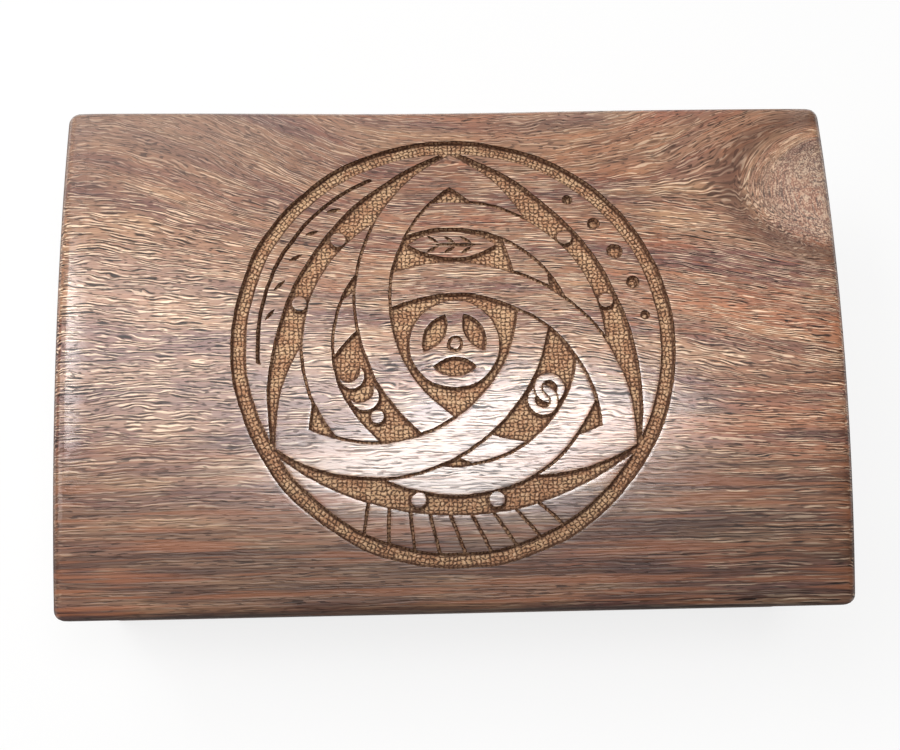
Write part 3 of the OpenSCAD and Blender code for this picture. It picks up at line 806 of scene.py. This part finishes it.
class KEEPSAKE_OT_stage(bpy.types.Operator):
    """Adds the camera, the lamps and a pale floor"""
    bl_idname = "keepsake.stage"
    bl_label = "Stage"

    # Each lamp's place and size in metres, turn in degrees and power in watts.
    LAMPS = {
        "overhead": ((0.06, -0.02, 0.90), (0.30, 0.19), -15, 3.7),
        "left": ((-0.19, 0.20, 0.88), (0.24, 0.42), -10, 1.6),
        "strip": ((-0.36, 0.17, 0.80), (0.12, 0.44), -65, 2.0),
        "window": ((-0.70, 0.04, 0.68), (0.50, 0.50), 0, 2.2),
        "back": ((-0.10, 1.00, 0.62), (1.40, 0.60), 0, 2.4),
    }
    CAMERA_PLACE = (-0.0135, -0.0670, LID_HIGH.z + 0.2825)
    CAMERA_TURN = (12.21, -2.24, -1.34)  # degrees
    FLOOR_REACH = 4.0  # metres

    def execute(self, context):
        scene = context.scene
        scene.view_settings.view_transform = "Standard"
        camera = bpy.data.objects.new("camera", bpy.data.cameras.new("camera"))
        camera.data.sensor_width = 36
        camera.data.lens = 60
        camera.location = self.CAMERA_PLACE
        camera.rotation_euler = [math.radians(turn) for turn in self.CAMERA_TURN]
        scene.collection.objects.link(camera)
        scene.camera = camera
        for name, (place, size, turn, watts) in self.LAMPS.items():
            self.lamp(scene, name, place, size, turn, watts)
        self.world(scene)
        self.floor(scene)
        return {"FINISHED"}

    @staticmethod
    def lamp(scene, name, place, size, turn, watts):
        """A soft rectangular lamp that points at the middle of the box."""
        data = bpy.data.lights.new(name, "AREA")
        data.shape = "RECTANGLE"
        data.size, data.size_y = size
        data.energy = watts
        lamp = bpy.data.objects.new(name, data)
        lamp.location = place
        target = Vector((0, 0, LID_LOW.z))
        aim = (target - Vector(place)).to_track_quat("-Z", "Y")
        lamp.rotation_euler = (Matrix.Rotation(math.radians(turn), 3, "Z")
                               @ aim.to_matrix()).to_euler()
        scene.collection.objects.link(lamp)

    @staticmethod
    def world(scene):
        """Even pale light all round, weak as a light and white to the camera."""
        world = bpy.data.worlds.new("studio")
        world.use_nodes = True
        tree = world.node_tree
        tree.nodes.clear()
        path = tree.nodes.new("ShaderNodeLightPath")
        seen = tree.nodes.new("ShaderNodeMath")
        seen.operation = "MAXIMUM"
        tree.links.new(path.outputs["Is Camera Ray"], seen.inputs[0])
        tree.links.new(path.outputs["Is Transmission Ray"], seen.inputs[1])
        level = tree.nodes.new("ShaderNodeMapRange")
        level.inputs["To Min"].default_value = 0.10
        level.inputs["To Max"].default_value = 1.0
        tree.links.new(seen.outputs[0], level.inputs["Value"])
        sky = tree.nodes.new("ShaderNodeBackground")
        sky.inputs["Color"].default_value = (1.0, 0.985, 0.97, 1)
        tree.links.new(level.outputs[0], sky.inputs["Strength"])
        out = tree.nodes.new("ShaderNodeOutputWorld")
        tree.links.new(sky.outputs[0], out.inputs["Surface"])
        scene.world = world

    def floor(self, scene):
        """A wide pale floor that keeps the shadow and looks almost white."""
        finish = Finish("floor")
        x, y, z = finish.place()
        speck = finish.noise(x / 40, y / 40, z, 2)
        paper = finish.node("ShaderNodeBsdfDiffuse", (), {"Color": (0.86, 0.86, 0.855, 1)})
        glow = finish.node("ShaderNodeEmission", (), {"Color": (1, 1, 1, 1),
                                                      "Strength": speck * 0.01 + 0.995})
        path = finish.node("ShaderNodeLightPath", out="Is Camera Ray")
        far = finish.maths("SQRT", x * x + y * y).step(250, 1400)
        both = finish.node("ShaderNodeMixShader", (),
                           {0: path * (far * 0.19 + 0.80), 1: paper, 2: glow})
        finish.node("ShaderNodeOutputMaterial", (), {"Surface": both})
        mesh = bpy.data.meshes.new("floor")
        reach = self.FLOOR_REACH
        mesh.from_pydata([(-reach, -reach, 0), (reach, -reach, 0), (reach, reach, 0),
                          (-reach, reach, 0)], [], [(0, 1, 2, 3)])
        mesh.materials.append(finish.material)
        floor = bpy.data.objects.new("floor", mesh)
        scene.collection.objects.link(floor)


class KEEPSAKE_OT_carved_lid(bpy.types.Operator):
    """Adds the crowned lid board with its carved roundel"""
    bl_idname = "keepsake.carved_lid"
    bl_label = "Carved lid"

    def execute(self, context):
        mesh = LidForm(context.scene.keepsake_lid).build()
        add_piece("carved_lid", mesh, carved_finish(), "lid_board")
        return {"FINISHED"}


class KEEPSAKE_OT_woodwork(bpy.types.Operator):
    """Adds the walls, the rails and the base with eased edges"""
    bl_idname = "keepsake.woodwork"
    bl_label = "Walls, rails and base"

    TONES = {"amber": 0.6, "deep": 0.8, "fleck": 0.42, "gap": 0.45, "pore": 0.8, "level": 0.80,
             "waves": 0.35}
    # Each board's grain, the shift of its wood and the width of its eased edges, in millimetres.
    BOARDS = {
        "base_board": ("xyz", (12, 33, 5), 0.3),
        "front_wall": ("xzy", (220, 71, 40), 0.35),
        "back_wall": ("xzy", (410, 17, 81), 0.25),
        "left_wall": ("yzx", (95, 140, 63), 0.35),
        "right_wall": ("yzx", (330, 260, 22), 0.35),
        "lid_front_rail": ("xzy", (225, 75, 58), 0.3),
        "lid_back_rail": ("xzy", (520, 190, 11), 0.2),
        "lid_left_rail": ("yzx", (101, 143, 90), 0.3),
        "lid_right_rail": ("yzx", (640, 310, 47), 0.3),
    }

    def execute(self, context):
        for node, (grain, shift, width) in self.BOARDS.items():
            mesh = eased_mesh(node, width * MM, 3 * MM)
            material = wood_finish("rosewood_" + node, grain, shift, self.TONES)
            add_piece(node + "_wood", mesh, material, node)
        return {"FINISHED"}


class KEEPSAKE_OT_lining(bpy.types.Operator):
    """Adds the velvet linings"""
    bl_idname = "keepsake.lining"
    bl_label = "Velvet lining"

    # The axis and the side that each panel faces, and the piece behind it.
    PANELS = {
        "floor_lining": (2, 1, "base_board_wood"),
        "front_lining": (1, 1, "front_wall_wood"),
        "back_lining": (1, -1, "back_wall_wood"),
        "left_lining": (0, 1, "left_wall_wood"),
        "right_lining": (0, -1, "right_wall_wood"),
        "lid_lining": (2, -1, "carved_lid"),
    }

    def execute(self, context):
        velvet = velvet_finish()
        for node, (axis, side, backing) in self.PANELS.items():
            mesh, flat = lining_mesh(node, axis, side)
            piece = add_piece(node + "_velvet", mesh, velvet, node)
        return {"FINISHED"}


class KEEPSAKE_OT_brasswork(bpy.types.Operator):
    """Adds the brass leaves, pins and screws"""
    bl_idname = "keepsake.brasswork"
    bl_label = "Hinges and screws"

    EASED = {"leaf": 0.07, "pin": 0.12, "screws": 0.12}  # width of the eased edges, mm

    def execute(self, context):
        brass = brass_finish()
        for node in frame["nodes"]:
            width = self.EASED.get(node.split("_")[-1])
            if width:
                mesh = eased_mesh(node, width * MM, 0.2 * MM)
                add_piece(node + "_brass", mesh, brass, node)
        return {"FINISHED"}


class KEEPSAKE_PT_panel(bpy.types.Panel):
    """Lists the pieces and their sizes"""
    bl_idname = "KEEPSAKE_PT_panel"
    bl_label = "Carved Keepsake Box"
    bl_space_type = "VIEW_3D"
    bl_region_type = "UI"
    bl_category = "Keepsake"

    def draw(self, context):
        for step in STEPS:
            self.layout.operator(step.bl_idname)
        for group in (context.scene.keepsake_lid, context.scene.keepsake_wood,
                      context.scene.keepsake_trim):
            box = self.layout.box()
            for name in group.__annotations__:
                box.prop(group, name)


STEPS = (KEEPSAKE_OT_stage, KEEPSAKE_OT_carved_lid, KEEPSAKE_OT_woodwork, KEEPSAKE_OT_lining,
         KEEPSAKE_OT_brasswork)
GROUPS = {"keepsake_lid": KEEPSAKE_PG_lid, "keepsake_wood": KEEPSAKE_PG_wood,
          "keepsake_trim": KEEPSAKE_PG_trim}


def register():
    for kind in (*GROUPS.values(), *STEPS, KEEPSAKE_PT_panel):
        bpy.utils.register_class(kind)
    for name, kind in GROUPS.items():
        setattr(bpy.types.Scene, name, PointerProperty(type=kind))


def unregister():
    for name in GROUPS:
        delattr(bpy.types.Scene, name)
    for kind in reversed((*GROUPS.values(), *STEPS, KEEPSAKE_PT_panel)):
        bpy.utils.unregister_class(kind)


def main():
    register()
    bpy.ops.keepsake.stage()
    bpy.ops.keepsake.carved_lid()
    bpy.ops.keepsake.woodwork()
    bpy.ops.keepsake.lining()
    bpy.ops.keepsake.brasswork()


if __name__ == "__main__":
    main()
